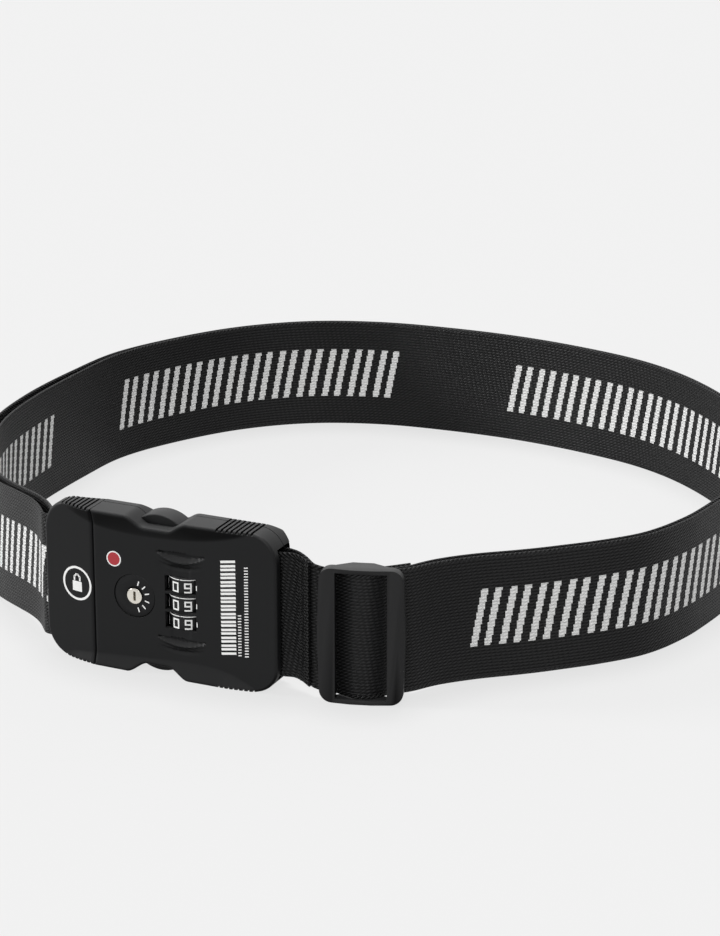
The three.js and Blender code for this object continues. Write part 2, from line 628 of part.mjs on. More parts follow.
// ---------- sewing ----------
function stitchRow(route, thickness) {
  return webbing(route, thickness, WEBBING_WIDTH - 4);
}
const hemStitch = [fromLock([58.4, -3.9]), fromLock([58.8, -4.1]), fromLock([59.2, -4.3])];
add(strap, 'hem_stitching', stitchRow(hemStitch, 0.3), threadBlack);

// ---------- stand the strap on its origin ----------
strap.updateMatrixWorld(true);
const bounds = new THREE.Box3().setFromObject(strap, true);
const centre = bounds.getCenter(new THREE.Vector3());
strap.position.set(-centre.x, -centre.y, -bounds.min.z);

export default strap;
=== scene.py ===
"""Looks of the luggage strap: woven webbing, lock shells, dials, adjuster, floor, light and camera.

Lengths are in millimetres until a mesh is made; the frame is in metres.
"""
import math

import bmesh
import bpy
import numpy as np
from mathutils import Euler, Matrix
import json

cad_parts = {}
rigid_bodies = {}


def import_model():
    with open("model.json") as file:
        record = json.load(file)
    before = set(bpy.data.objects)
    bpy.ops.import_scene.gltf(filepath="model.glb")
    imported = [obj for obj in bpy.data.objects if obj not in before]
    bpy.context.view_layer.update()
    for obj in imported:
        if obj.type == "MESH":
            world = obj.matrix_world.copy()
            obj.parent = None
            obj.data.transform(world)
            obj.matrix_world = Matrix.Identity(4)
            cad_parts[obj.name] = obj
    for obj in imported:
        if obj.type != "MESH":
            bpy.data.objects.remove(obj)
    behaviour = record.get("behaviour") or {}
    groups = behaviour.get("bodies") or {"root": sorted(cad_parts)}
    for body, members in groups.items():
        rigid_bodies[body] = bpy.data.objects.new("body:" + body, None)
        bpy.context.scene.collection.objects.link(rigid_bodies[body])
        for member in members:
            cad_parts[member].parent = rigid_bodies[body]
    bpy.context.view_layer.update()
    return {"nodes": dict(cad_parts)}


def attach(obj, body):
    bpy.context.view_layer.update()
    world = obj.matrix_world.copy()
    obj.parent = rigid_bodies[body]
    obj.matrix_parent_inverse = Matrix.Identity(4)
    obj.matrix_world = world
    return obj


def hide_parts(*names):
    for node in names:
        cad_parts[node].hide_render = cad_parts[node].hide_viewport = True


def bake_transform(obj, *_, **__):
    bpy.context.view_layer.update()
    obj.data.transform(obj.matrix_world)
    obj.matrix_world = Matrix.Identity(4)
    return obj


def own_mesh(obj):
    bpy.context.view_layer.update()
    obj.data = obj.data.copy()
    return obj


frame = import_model()

MM = 0.001
ROOT = "strap_and_housing"

# ---------- places shared with the CAD ----------
SHIFT = np.array([-0.528, 0.385])  # the CAD's recentring of the whole loop
LOCK_PLACE = (-77.5, -133.1, 31.0)
LOCK_YAW = math.radians(-24.5)
SLIDER_PLACE = (-3.8, -166.7, 27.2)
SLIDER_YAW = math.radians(-7.7)
LOCK_HALF = 31.0
LOCK_FACE = 9.0
LOCK_FRONT_X = -51.0
LOCK_REAR_X = 50.2
SEAM_X = -27.7
GAP = 0.3
WEBBING_WIDTH = 50.0
WEBBING_THICKNESS = 1.4

scene = bpy.context.scene


# ---------- small helpers ----------
def turned(points, place, yaw):
    """Local points (n, 3) of the lock or the adjuster, in the frame, still in millimetres."""
    points = np.asarray(points, dtype=float)
    cos, sin = math.cos(yaw), math.sin(yaw)
    x = place[0] + SHIFT[0] + points[:, 0] * cos - points[:, 1] * sin
    y = place[1] + SHIFT[1] + points[:, 0] * sin + points[:, 1] * cos
    return np.stack([x, y, points[:, 2] + place[2]], axis=1)


def from_lock(points):
    return turned(points, LOCK_PLACE, LOCK_YAW)


def from_slider(points):
    return turned(points, SLIDER_PLACE, SLIDER_YAW)


def lock_point(x, y, z=0.0):
    return tuple(from_lock([(x, y, z)])[0] * MM)


def slider_point(x, y, z=0.0):
    return tuple(from_slider([(x, y, z)])[0] * MM)


def make_object(name, points, faces, body, material, smooth=True):
    """A mesh object from points in millimetres of the frame, riding on a body if one is given."""
    mesh = bpy.data.meshes.new(name)
    mesh.from_pydata([tuple(p) for p in np.asarray(points) * MM], [], faces)
    mesh.update()
    obj = bpy.data.objects.new(name, mesh)
    scene.collection.objects.link(obj)
    if material is not None:
        mesh.materials.append(material)
    if smooth:
        mesh.shade_smooth()
    if body:
        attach(obj, body)
    return obj


def outward(obj):
    """Turns every face of a closed mesh to look outward."""
    bm = bmesh.new()
    bm.from_mesh(obj.data)
    bmesh.ops.recalc_face_normals(bm, faces=bm.faces)
    bm.to_mesh(obj.data)
    bm.free()


def use_material(obj, material):
    obj.data.materials.clear()
    obj.data.materials.append(material)


def crisp(obj, degrees):
    obj.data.shade_smooth()
    obj.data.set_sharp_from_angle(angle=math.radians(degrees))


def apply_modifiers(obj):
    bpy.context.view_layer.update()
    graph = bpy.context.evaluated_depsgraph_get()
    mesh = bpy.data.meshes.new_from_object(obj.evaluated_get(graph))
    obj.modifiers.clear()
    obj.data = mesh


def box_points(x, y, z):
    return [(a, b, c) for a in x for b in y for c in z]


BOX_FACES = [(0, 1, 3, 2), (4, 6, 7, 5), (0, 4, 5, 1), (2, 3, 7, 6), (0, 2, 6, 4), (1, 5, 7, 3)]


def tube_points(radius, y, x, z, sides=32):
    turns = [2 * math.pi * i / sides for i in range(sides)]
    return [(x + radius * math.cos(a), depth, z + radius * math.sin(a)) for depth in y for a in turns]


def tube_faces(sides=32):
    wall = [(i, (i + 1) % sides, sides + (i + 1) % sides, sides + i) for i in range(sides)]
    return wall + [tuple(reversed(range(sides))), tuple(range(sides, 2 * sides))]


class Cutters:
    """Closed solids in lock coordinates that are taken out of a shell."""

    def __init__(self):
        self.solids = []

    def box(self, x, y, z):
        self.solids.append((box_points(x, y, z), BOX_FACES))
        return self

    def tube_y(self, radius, y, x, z, sides=32):
        self.solids.append((tube_points(radius, y, x, z, sides), tube_faces(sides)))
        return self

    def tube_z(self, radius, z, x, y, sides=32):
        points = [(px, y + pz, height) for px, height, pz in tube_points(radius, z, x, 0.0, sides)]
        self.solids.append((points, tube_faces(sides)))
        return self

    def apply(self, obj):
        for index, (points, faces) in enumerate(self.solids):
            tool = make_object(f"cutter_{index}", from_lock(points), faces, None, None, smooth=False)
            outward(tool)
            modifier = obj.modifiers.new("cut", "BOOLEAN")
            modifier.operation = "DIFFERENCE"
            modifier.solver = "MANIFOLD"
            modifier.object = tool
        apply_modifiers(obj)
        for tool in [o for o in bpy.data.objects if o.name.startswith("cutter_")]:
            bpy.data.objects.remove(tool)


# ---------- material helpers ----------
TOP_LIGHT_PAINT = 0.035  # painted light: how much lighter upward faces are coloured, standing in for light from above


class Shader:
    """A node material with short calls for the nodes it is made of."""

    def __init__(self, name, color, roughness, metallic=0.0, specular=0.5):
        self.material = bpy.data.materials.new(name)
        self.material.use_nodes = True
        self.tree = self.material.node_tree
        self.bsdf = self.tree.nodes["Principled BSDF"]
        self.set("Base Color", (*color, 1.0))
        self.set("Roughness", roughness)
        self.set("Metallic", metallic)
        self.set("Specular IOR Level", specular)

    def set(self, socket, value):
        if isinstance(value, bpy.types.NodeSocket):
            self.tree.links.new(value, self.bsdf.inputs[socket])
        else:
            self.bsdf.inputs[socket].default_value = value

    def node(self, kind, **settings):
        node = self.tree.nodes.new(kind)
        for key, value in settings.items():
            setattr(node, key, value)
        return node

    def plug(self, socket, value):
        if isinstance(value, bpy.types.NodeSocket):
            self.tree.links.new(value, socket)
        else:
            socket.default_value = value

    def math(self, operation, a, b=0.0, c=0.0, clamp=False):
        node = self.node("ShaderNodeMath", operation=operation, use_clamp=clamp)
        for socket, value in zip(node.inputs, (a, b, c)):
            self.plug(socket, value)
        return node.outputs[0]

    def coordinates(self):
        return self.node("ShaderNodeTexCoord").outputs["Object"]

    def attribute(self, name):
        return self.node("ShaderNodeAttribute", attribute_name=name).outputs["Fac"]

    def noise(self, scale, detail=2.0, stretch=None):
        vector = self.coordinates()
        if stretch:
            mapping = self.node("ShaderNodeMapping")
            self.plug(mapping.inputs["Vector"], vector)
            mapping.inputs["Scale"].default_value = stretch
            vector = mapping.outputs[0]
        node = self.node("ShaderNodeTexNoise")
        self.plug(node.inputs["Vector"], vector)
        node.inputs["Scale"].default_value = scale
        node.inputs["Detail"].default_value = detail
        return node.outputs["Fac"]

    def facing(self, low, high):
        """0 to 1 as the surface's normal turns from low to high against the vertical."""
        split = self.node("ShaderNodeSeparateXYZ")
        self.plug(split.inputs[0], self.node("ShaderNodeTexCoord").outputs["Normal"])
        node = self.node("ShaderNodeMapRange")
        self.plug(node.inputs["Value"], split.outputs["Z"])
        node.inputs["From Min"].default_value = low
        node.inputs["From Max"].default_value = high
        return node.outputs[0]

    def ramp(self, value, low, high):
        """value from 0 to 1 becomes low to high."""
        node = self.node("ShaderNodeMapRange")
        self.plug(node.inputs["Value"], value)
        node.inputs["To Min"].default_value = low
        node.inputs["To Max"].default_value = high
        return node.outputs[0]

    def band(self, value, low, high):
        """1 between low and high, else 0."""
        above = self.math("GREATER_THAN", value, low)
        below = self.math("LESS_THAN", value, high)
        return self.math("MULTIPLY", above, below)

    def stepped(self, value, step):
        """value rounded down to whole steps."""
        return self.math("MULTIPLY", self.math("FLOOR", self.math("DIVIDE", value, step)), step)

    def sine_ridges(self, turns):
        """Round ridges, one for each whole turn: 0 in the grooves, 1 on the crests."""
        return self.math("ABSOLUTE", self.math("SINE", self.math("MULTIPLY", turns, math.pi)))

    def mix(self, share, a, b):
        node = self.node("ShaderNodeMix", data_type="RGBA")
        self.plug(node.inputs[0], share)
        self.plug(node.inputs[6], a if isinstance(a, bpy.types.NodeSocket) else (*a, 1.0))
        self.plug(node.inputs[7], b if isinstance(b, bpy.types.NodeSocket) else (*b, 1.0))
        return node.outputs[2]

    def bump(self, height, distance_mm, strength=1.0):
        node = self.node("ShaderNodeBump")
        node.inputs["Strength"].default_value = strength
        node.inputs["Distance"].default_value = distance_mm * MM
        self.plug(node.inputs["Height"], height)
        self.set("Normal", node.outputs[0])


def moulded_plastic(name, dark, light, roughness, specular, grain_mm=0.3, depth_mm=0.02):
    """Matte moulded plastic: spark-eroded grain, slow colour drift, faint scuffs, painted light on what
    faces up and painted shade on what faces down.
    """
    shader = Shader(name, dark, roughness)
    grain = shader.noise(1000.0 / grain_mm, 3.0)
    drift = shader.noise(60.0, 3.0)
    clean = shader.mix(shader.ramp(drift, 0.2, 0.8), dark, light)
    upward = shader.facing(0.05, 0.95)
    painted_shade_below = shader.facing(-0.03, -0.28)
    # painted light: faces turned up are coloured lighter, standing in for light from above
    painted_top_light = shader.mix(upward, clean, tuple(c + TOP_LIGHT_PAINT for c in light))
    # painted shade: faces turned down are coloured darker and given a weaker reflection
    shader.set("Base Color", shader.mix(painted_shade_below, painted_top_light, tuple(0.3 * c for c in dark)))
    shader.set("Specular IOR Level", shader.ramp(painted_shade_below, specular, 0.3 * specular))
    scuff = shader.noise(260.0, 5.0, (1.0, 1.0, 0.15))
    patchy = shader.math("ADD", shader.ramp(drift, -0.05, 0.05), shader.ramp(scuff, -0.05, 0.05))
    shader.set("Roughness", shader.math("ADD", patchy, roughness))
    shader.bump(grain, depth_mm)
    return shader.material


def brushed_metal(name, color, roughness, stretch=(1.0, 1.0, 0.05)):
    shader = Shader(name, color, roughness, metallic=1.0)
    lines = shader.noise(3000.0, 2.0, stretch)
    tarnish = shader.noise(300.0, 3.0)
    darker = tuple(0.6 * c for c in color)
    shader.set("Base Color", shader.mix(shader.ramp(tarnish, 0.0, 0.6), color, darker))
    shader.set("Roughness", shader.ramp(lines, roughness - 0.08, roughness + 0.12))
    shader.bump(lines, 0.01)
    return shader.material


def printed_ink(name, color, roughness=0.5):
    shader = Shader(name, color, roughness)
    speckle = shader.noise(4000.0, 2.0)
    darker = tuple(0.86 * c for c in color)
    shader.set("Base Color", shader.mix(speckle, color, darker))
    shader.set("Roughness", shader.ramp(speckle, roughness - 0.1, roughness + 0.1))
    shader.bump(speckle, 0.01)
    return shader.material


# ---------- woven webbing ----------
RIB_PITCH = 1.3  # lengthwise ribs across the width
TWILL_PITCH = 2.1  # from one slanted line to the next, along the webbing
TWILL_RISE = 0.7  # rise of the slanted lines over their run
SELVEDGE = 1.4
WHIP_PITCH = 1.9  # from one whipped edge thread to the next
WHIP_LEAN = 0.75
YARN_ALONG, YARN_ACROSS = 0.6, 0.49  # the steps of the woven pattern
MOTIF_PERIOD = 200.0  # from one woven motif to the next, along the webbing
MOTIF_LENGTH = 145.0
MOTIF_UNIT = 12.1  # a motif repeats two slanted bars in each unit
MOTIF_BARS = [(0.3, 3.1), (6.0, 8.8)]
MOTIF_LOW, MOTIF_HIGH = 13.6, 36.4
MOTIF_SLANT = 0.2


def webbing_material():
    shader = Shader("woven_polyester", (0.012, 0.012, 0.013), 0.6, specular=0.22)
    along = shader.attribute("weave_along")
    across = shader.attribute("weave_across")
    motif_at = shader.attribute("motif_along")
    printed = shader.attribute("printed_side")
    rib = shader.math("DIVIDE", across, RIB_PITCH)
    arch = shader.sine_ridges(rib)
    lean = shader.math("DIVIDE", across, TWILL_PITCH * TWILL_RISE)
    turn = shader.math("SUBTRACT", shader.math("DIVIDE", along, TWILL_PITCH), lean)
    twill = shader.sine_ridges(turn)
    yarn = shader.math("MULTIPLY", shader.math("POWER", arch, 0.7), shader.ramp(twill, 0.25, 1.0))
    # whipped threads along both edges
    from_edge = shader.math("MINIMUM", across, shader.math("SUBTRACT", WEBBING_WIDTH, across))
    edge = shader.math("LESS_THAN", from_edge, SELVEDGE)
    twist = shader.math(
        "SUBTRACT", shader.math("DIVIDE", along, WHIP_PITCH), shader.math("MULTIPLY", across, WHIP_LEAN)
    )
    whipped = shader.sine_ridges(twist)
    inner = shader.math("MULTIPLY", yarn, shader.math("SUBTRACT", 1.0, edge))
    height = shader.math("ADD", inner, shader.math("MULTIPLY", whipped, edge))
    # the woven pattern is stepped: it changes only from yarn to yarn
    step_u = shader.stepped(motif_at, YARN_ALONG)
    step_v = shader.stepped(across, YARN_ACROSS)
    raised = shader.math("MULTIPLY", shader.math("SUBTRACT", step_v, MOTIF_LOW), MOTIF_SLANT)
    place = shader.math("FLOORED_MODULO", shader.math("SUBTRACT", step_u, raised), MOTIF_PERIOD)
    unit = shader.math("FLOORED_MODULO", place, MOTIF_UNIT)
    bars = [shader.band(unit, low, high) for low, high in MOTIF_BARS]
    strokes = shader.math("ADD", bars[0], bars[1])
    in_length = shader.math("LESS_THAN", place, MOTIF_LENGTH)
    inside = shader.math("MULTIPLY", shader.band(step_v, MOTIF_LOW, MOTIF_HIGH), in_length)
    begun = shader.math("GREATER_THAN", motif_at, -2.0)
    inside = shader.math("MULTIPLY", inside, begun)
    white = shader.math("MULTIPLY", shader.math("MULTIPLY", strokes, inside), printed, clamp=True)
    fibre = shader.noise(2500.0, 3.0)
    wear = shader.noise(45.0, 3.0)
    # painted shade: the weave's grooves are coloured darker than its crests, on the black and the white
    # yarns alike
    painted_groove_shade = shader.mix(fibre, (0.0006, 0.0006, 0.0006), (0.0014, 0.0014, 0.0015))
    black_high = shader.mix(wear, (0.015, 0.015, 0.016), (0.025, 0.025, 0.026))
    black = shader.mix(shader.math("POWER", height, 2.4), painted_groove_shade, black_high)
    pale = shader.mix(shader.math("POWER", height, 0.5), (0.5, 0.5, 0.5), (0.95, 0.95, 0.94))
    shader.set("Base Color", shader.mix(white, black, pale))
    shader.set("Roughness", shader.ramp(fibre, 0.36, 0.56))
    shader.bump(height, 0.4)
    return shader.material


LOOP_ROUTE = [
    (14.3, -161.1), (24.3, -153.6), (39.6, -145.6), (55.4, -139.8), (71.1, -134.4), (86.9, -128.7),
    (102.7, -121.1), (111, -114.7), (119.1, -106.3), (127.9, -95), (149, -58), (160, -22), (162, 12),
    (156, 45), (141, 80), (123.5, 104), (100, 124), (70, 143), (37, 157.5), (5, 167), (-28, 168.5),
    (-60, 159.5), (-90, 141), (-115, 118), (-131, 91), (-148, 55), (-158, 22), (-159.5, -12),
    (-152.6, -50), (-146, -66), (-138.2, -81.5), (-131.3, -94), (-128.6, -99.5), (-126.6, -104.8),
    (-125.4, -109.3),
]
LEG_ENDS = 0.0015  # share of the loop left to the folds at either end
PLY_GAP = [(0, 0.8), (0.03, 1.4), (0.12, 0.9), (0.16, 0.4), (0.68, 0.4), (0.8, 3), (1, 3)]
OVER_SLIDER = [
    (-17, 2.3), (-12, 2.3), (-9.3, 1.7), (-5.4, -0.9), (-2.6, -2.2), (0, -2.5),
    (2.6, -2.2), (5.8, -0.4), (8.8, 2), (12, 4), (17, 6.8),
]
SLIDER_FOLD = [
    (17, 9.1), (12, 6.2), (9.4, 4.6), (6.6, 2.3), (4.3, 0.6), (2, -0.6), (-0.6, -0.75),
    (-2.6, -0.3), (-3.15, 1.2), (-2.7, 2.8), (-0.8, 3.35), (1.6, 3.6), (4.2, 4.6), (6.8, 6), (9.4, 7.4),
    (12, 8.8), (16.6, 11.6),
]
LOCK_LOOP = [
    (59, -1), (55, 0.7), (50, 2.2), (46, 2.85), (42, 2.85), (40, 2), (39.15, 0), (40, -2), (42, -2.85),
    (46, -3), (50, -2.8), (54, -2), (58, -2.6), (61.3, -4),
]
PLUG_FOLD = [
    (-54.6, -0.2), (-53.3, -1.7), (-51, -2.3), (-46.4, -2.3), (-44.4, -1.7), (-43.65, 0), (-44.4, 1.7),
    (-46.4, 2.3), (-50.5, 2.3), (-52.3, 3.3),
]


def plan(points, place, yaw):
    """Local plan points in the strap's own plan, before recentring."""
    cos, sin = math.cos(yaw), math.sin(yaw)
    return [(place[0] + x * cos - y * sin, place[1] + x * sin + y * cos) for x, y in points]


def smooth_route(points, step):
    """A centripetal Catmull-Rom curve through the points, in equal steps."""
    points = [np.array(p, dtype=float) for p in points]
    ends = [2 * points[0] - points[1], *points, 2 * points[-1] - points[-2]]
    fine = []
    for p0, p1, p2, p3 in zip(ends, ends[1:], ends[2:], ends[3:]):
        d0, d1, d2 = (max(np.linalg.norm(b - a), 1e-6) ** 0.5 for a, b in ((p0, p1), (p1, p2), (p2, p3)))
        t1 = ((p1 - p0) / d0 - (p2 - p0) / (d0 + d1) + (p2 - p1) / d1) * d1
        t2 = ((p2 - p1) / d1 - (p3 - p1) / (d1 + d2) + (p3 - p2) / d2) * d1
        for share in np.linspace(0, 1, 24, endpoint=False):
            cubic = (2 * p1 - 2 * p2 + t1 + t2) * share**3 + (3 * p2 - 3 * p1 - 2 * t1 - t2) * share**2
            fine.append(cubic + t1 * share + p1)
    fine.append(points[-1])
    return evenly(np.array(fine), step)


def evenly(route, step):
    lengths = along_route(route)
    count = max(2, int(round(lengths[-1] / step)) + 1)
    places = np.linspace(0, lengths[-1], count)
    return np.stack([np.interp(places, lengths, route[:, axis]) for axis in (0, 1)], axis=1)


def along_route(route):
    return np.concatenate([[0], np.cumsum(np.linalg.norm(np.diff(route, axis=0), axis=1))])


def sideways(route):
    ahead = np.vstack([route[1:], route[-1:]])
    behind = np.vstack([route[:1], route[:-1]])
    step = ahead - behind
    step /= np.linalg.norm(step, axis=1)[:, None]
    return np.stack([-step[:, 1], step[:, 0]], axis=1)


def smooth_share(value, low, high):
    share = np.clip((value - low) / (high - low), 0, 1)
    return share * share * (3 - 2 * share)


def ply_gap(share):
    gap = np.empty_like(share)
    for (s0, g0), (s1, g1) in zip(PLY_GAP, PLY_GAP[1:]):
        inside = (share >= s0) & (share <= s1)
        gap[inside] = g0 + (g1 - g0) * smooth_share(share[inside], s0, s1)
    return gap


def lift(route):
    """Height of the webbing's lower edge above the floor."""
    place, slider = np.array(LOCK_PLACE[:2]), np.array(SLIDER_PLACE[:2])
    slider_lift = SLIDER_PLACE[2] - WEBBING_WIDTH / 2
    lock_lift = LOCK_PLACE[2] - WEBBING_WIDTH / 2
    ends = np.array(plan([(LOCK_FRONT_X, 0), (LOCK_REAR_X, 0)], place, LOCK_YAW))
    to_slider = np.linalg.norm(route - slider, axis=1)
    axis = ends[1] - ends[0]
    share = np.clip((route - ends[0]) @ axis / (axis @ axis), 0, 1)
    to_lock = np.linalg.norm(route - ends[0] - share[:, None] * axis, axis=1)
    right = slider_lift * (1 - smooth_share(to_slider, 12, 78))
    near_lock = lock_lift * (1 - smooth_share(to_lock, 12, 78))
    blend = smooth_share(to_slider, 12, 28)
    left = slider_lift * (1 - blend) + near_lock * blend
    return np.where(route[:, 0] > SLIDER_PLACE[0], right, left)


def strap_path():
    """The one long webbing, from its sewn hem to its sewn tail, with the place where each leg starts."""
    at_slider = plan([(-17.3, 2.3), (-18.6, 2.5)], SLIDER_PLACE, SLIDER_YAW)
    lock_loop = smooth_route(at_slider + plan(LOCK_LOOP, LOCK_PLACE, LOCK_YAW), 0.5)[::-1]
    over = smooth_route(plan(OVER_SLIDER, SLIDER_PLACE, SLIDER_YAW), 0.5)
    middle = smooth_route(LOOP_ROUTE, 1.0)
    share = along_route(middle) / along_route(middle)[-1]
    offset = (ply_gap(share) + WEBBING_THICKNESS)[:, None] / 2
    kept = (share > LEG_ENDS) & (share < 1 - LEG_ENDS)
    outer = (middle - offset * sideways(middle))[kept]
    inner = (middle + offset * sideways(middle))[kept][::-1]
    plug = smooth_route(plan(PLUG_FOLD, LOCK_PLACE, LOCK_YAW), 0.5)
    fold = smooth_route(plan(SLIDER_FOLD, SLIDER_PLACE, SLIDER_YAW), 0.5)
    legs = [lock_loop, over, outer, plug, inner, fold]
    starts = np.cumsum([0] + [len(leg) for leg in legs])
    return np.vstack(legs), starts


def ring_section():
    """Once round the webbing: points (thickness, width, printed side), with rounded, thicker edges."""
    half = WEBBING_THICKNESS / 2
    face = half - 0.1
    flat = np.linspace(-WEBBING_WIDTH / 2 + 1.0, WEBBING_WIDTH / 2 - 1.0, 13)
    section = [(-face, w, 1.0) for w in flat]
    for angle in np.linspace(-70, 70, 6):
        turn = math.radians(angle)
        section.append((half * math.sin(turn), WEBBING_WIDTH / 2 - half + half * math.cos(turn), 0.0))
    section += [(face, w, 0.0) for w in flat[::-1]]
    for angle in np.linspace(70, -70, 6):
        turn = math.radians(angle)
        section.append((half * math.sin(turn), -WEBBING_WIDTH / 2 + half - half * math.cos(turn), 0.0))
    return np.array(section)


def webbing_piece(name, path, normals, along, motif, heights, section):
    count, around = len(path), len(section)
    plan_at = path[:, None, :] + normals[:, None, :] * section[None, :, 0, None]
    z = heights[:, None] + WEBBING_WIDTH / 2 + section[None, :, 1]
    points = np.concatenate([plan_at + SHIFT, z[:, :, None]], axis=2).reshape(-1, 3)
    faces = []
    for ring in range(count - 1):
        low, high = ring * around, (ring + 1) * around
        for index in range(around):
            after = (index + 1) % around
            faces.append((low + index, low + after, high + after, high + index))
    faces.append(tuple(reversed(range(around))))
    faces.append(tuple(range((count - 1) * around, count * around)))
    obj = make_object(name, points, faces, None, webbing)
    outward(obj)
    for key, values in (
        ("weave_along", np.repeat(along, around)),
        ("motif_along", np.repeat(motif, around)),
        ("weave_across", np.tile(section[:, 1] + WEBBING_WIDTH / 2, count)),
        ("printed_side", np.tile(section[:, 2], count)),
    ):
        layer = obj.data.attributes.new(key, "FLOAT", "POINT")
        layer.data.foreach_set("value", values.astype(np.float32))
    crisp(obj, 60)
    return obj


MOTIF_START_OUTER = 24.0  # from the start of each ply to its first motif
MOTIF_START_INNER = 38.0
MOTIF_CATCH_UP = 48.0  # the outer ply's motifs lie this much closer together round the back


def make_webbing():
    path, starts = strap_path()
    # soften the small kinks where two legs meet
    for _ in range(3):
        path[1:-1] = 0.25 * path[:-2] + 0.5 * path[1:-1] + 0.25 * path[2:]
    normals = sideways(path)
    along = along_route(path)
    heights = lift(path)
    section = ring_section()
    motif = along - along[starts[2]] - MOTIF_START_OUTER
    motif += MOTIF_CATCH_UP * smooth_share(motif, 250, 700)
    inner_motif = along - along[starts[4]] - MOTIF_START_INNER + MOTIF_PERIOD
    motif[starts[3] + 28:] = inner_motif[starts[3] + 28:]
    outer_cut = starts[2] + int(0.3 * (starts[3] - starts[2]))
    inner_cut = starts[4] + int(0.7 * (starts[5] - starts[4]))
    pieces = {}
    for name, start, end in (
        ("webbing_lock_end", 0, starts[1]),
        ("webbing_front_outer_ply", starts[1] - 1, outer_cut),
        ("webbing_round_the_back", outer_cut - 1, inner_cut),
        ("webbing_front_inner_ply", inner_cut - 1, len(path)),
    ):
        part = slice(start, end)
        pieces[name] = webbing_piece(
            name, path[part], normals[part], along[part], motif[part], heights[part], section
        )
    for name in ("webbing_front_outer_ply", "webbing_front_inner_ply"):
        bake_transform(pieces[name], ROOT, "adjuster", start=slider_point(110, 0), end=slider_point(14, 0))
    lock_end = pieces["webbing_lock_end"]
    slider_point(-34, 0)
    slider_point(-17, 0)
    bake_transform(lock_end)
    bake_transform(pieces["webbing_round_the_back"])
    return pieces


# ---------- lock shells ----------
def fitted(points, degree=4):
    """A smooth curve z(x) through five points of a moulded line."""
    x, z = np.array(points).T
    return np.poly1d(np.polyfit(x, z, degree))


UPPER_CREASE = fitted([(-44, 30.86), (-22, 24.37), (0, 23.64), (22, 25.48), (44, 32.63)])
LOWER_CREASE = fitted([(-44, -29.28), (-22, -25.61), (0, -24.17), (22, -23.65), (44, -31.96)])
FLARE = 2.0  # how far the bands along the top and bottom stand out at the rim
EDGE_RADIUS = 0.9
FACE_RADIUS = 1.2  # the front faces' edges are rounder than the others
SCALLOP_DEPTH = 4.0
TOP_RISE = 1.8  # the moulded rim along the top stands this much above the housing's plain outline
BACK_CHAMFER_FROM = 26.0  # height on the back where its long edges start to fall away
BACK_CHAMFER_DEPTH = 5.5
REAR_CHAMFER_DEPTH = 3.5
HOUSING_CORNER = 11.0
HEAD_CORNER = 12.0
HEAD_END_HALF = 4.6


def housing_half_height(x):
    corner = np.clip(x - (LOCK_REAR_X - HOUSING_CORNER), 0, HOUSING_CORNER)
    top = LOCK_HALF - HOUSING_CORNER + np.sqrt(HOUSING_CORNER**2 - corner**2)
    scallop = smooth_share(x, -13.4, -5.0) * (1 - smooth_share(x, 4.0, 13.0))
    return top - SCALLOP_DEPTH * scallop


def head_half_height(x):
    corner = np.clip((LOCK_FRONT_X + HEAD_CORNER) - x, 0, HEAD_CORNER)
    return LOCK_HALF - HEAD_CORNER + np.sqrt(HEAD_CORNER**2 - corner**2)


def raised(z):
    """The upper part of the shells' outline, lifted towards the rim."""
    return z + TOP_RISE * smooth_share(z, 12.0, LOCK_HALF)


def back_chamfer(x, z):
    """How far the back falls away towards its long edges and its rear end."""
    share = np.clip((np.abs(z) - BACK_CHAMFER_FROM) / (LOCK_HALF - BACK_CHAMFER_FROM), 0, 1)
    return np.maximum(BACK_CHAMFER_DEPTH * share, REAR_CHAMFER_DEPTH * smooth_share(x, 36.0, LOCK_REAR_X))


def edge_distance(x, z, outline):
    """Distance of each grid point to the outline, a closed ring of (x, z) points."""
    step = np.roll(outline, -1, axis=0) - outline
    squares = np.maximum((step**2).sum(axis=1), 1e-9)
    best = np.full(x.shape, 1e9)
    for (sx, sz), (dx, dz), square in zip(outline, step, squares):
        share = np.clip(((x - sx) * dx + (z - sz) * dz) / square, 0, 1)
        best = np.minimum(best, (x - sx - share * dx) ** 2 + (z - sz - share * dz) ** 2)
    return np.sqrt(best)


def flare(x, z):
    """How far the long curved bands along the top and bottom stand out from the face."""
    height = np.zeros_like(x)
    for crease, sign in ((UPPER_CREASE, 1), (LOWER_CREASE, -1)):
        width = np.maximum(LOCK_HALF - sign * crease(x), 0.05)
        inside = np.clip((sign * z - sign * crease(x)) / width, 0, 1)
        height += np.minimum(FLARE, 0.32 * width) * inside**1.1
    return height


def edge_fall(distance, radius=EDGE_RADIUS):
    inside = np.clip(radius - distance, 0, radius)
    return radius - np.sqrt(np.maximum(radius**2 - inside**2, 0))


# lens-shaped recesses above and below the dials: (height of the ends, upper bulge, lower bulge)
CRESCENTS = [(19.2, 0.5, 2.7), (-14.6, 0.4, 2.5)]
CRESCENT_X = (-0.8, 20.6)
CRESCENT_DEPTH = 2.0


